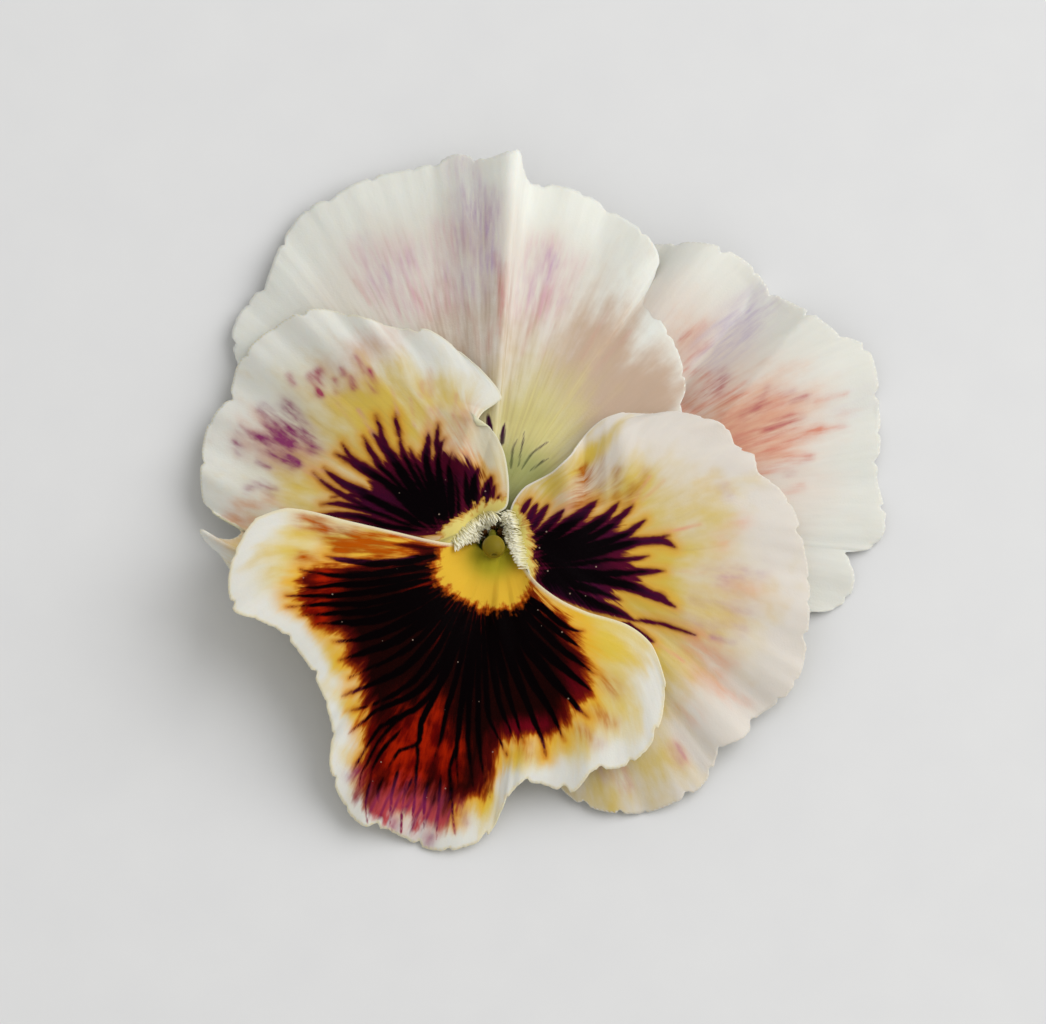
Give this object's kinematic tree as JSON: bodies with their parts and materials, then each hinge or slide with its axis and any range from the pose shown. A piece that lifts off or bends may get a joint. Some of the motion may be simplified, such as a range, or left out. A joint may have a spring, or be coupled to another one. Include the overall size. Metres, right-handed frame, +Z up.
{
  "type": "pansy flower",
  "caption": "Single pansy bloom lying face up: layered ruffled petals round a bearded throat, with a spur, green calyx and short cut stalk behind.",
  "frame": {"origin": "on the surface the flower lies on, in the middle of the small flat spot under the calyx, right below the ovary", "axes": "+Z is up, out of the flower's face; +Y points to the top of the bloom, away from the lower petal; +X is to the right seen from the front"},
  "size_m": [0.0662, 0.0687, 0.0123],
  "materials": {
    "petal_lower": "velvety dark maroon blotch with a golden throat and a cream rim",
    "petal_side": "soft thin petal, cream to yellow with a dark veined blotch",
    "petal_upper": "soft thin petal, creamy white flushed pink",
    "calyx": "satin green, fleshy",
    "stamens": "dry orange-brown anther tips",
    "pistil": "moist pale green"
  },
  "bodies": {
    "root": {"petal_lower": "petal_lower", "petal_lateral_left": "petal_side", "petal_lateral_right": "petal_side", "petal_upper_left": "petal_upper", "petal_upper_right": "petal_upper", "calyx": "calyx", "stamens": "stamens", "pistil": "pistil"}
  },
  "joints": []
}
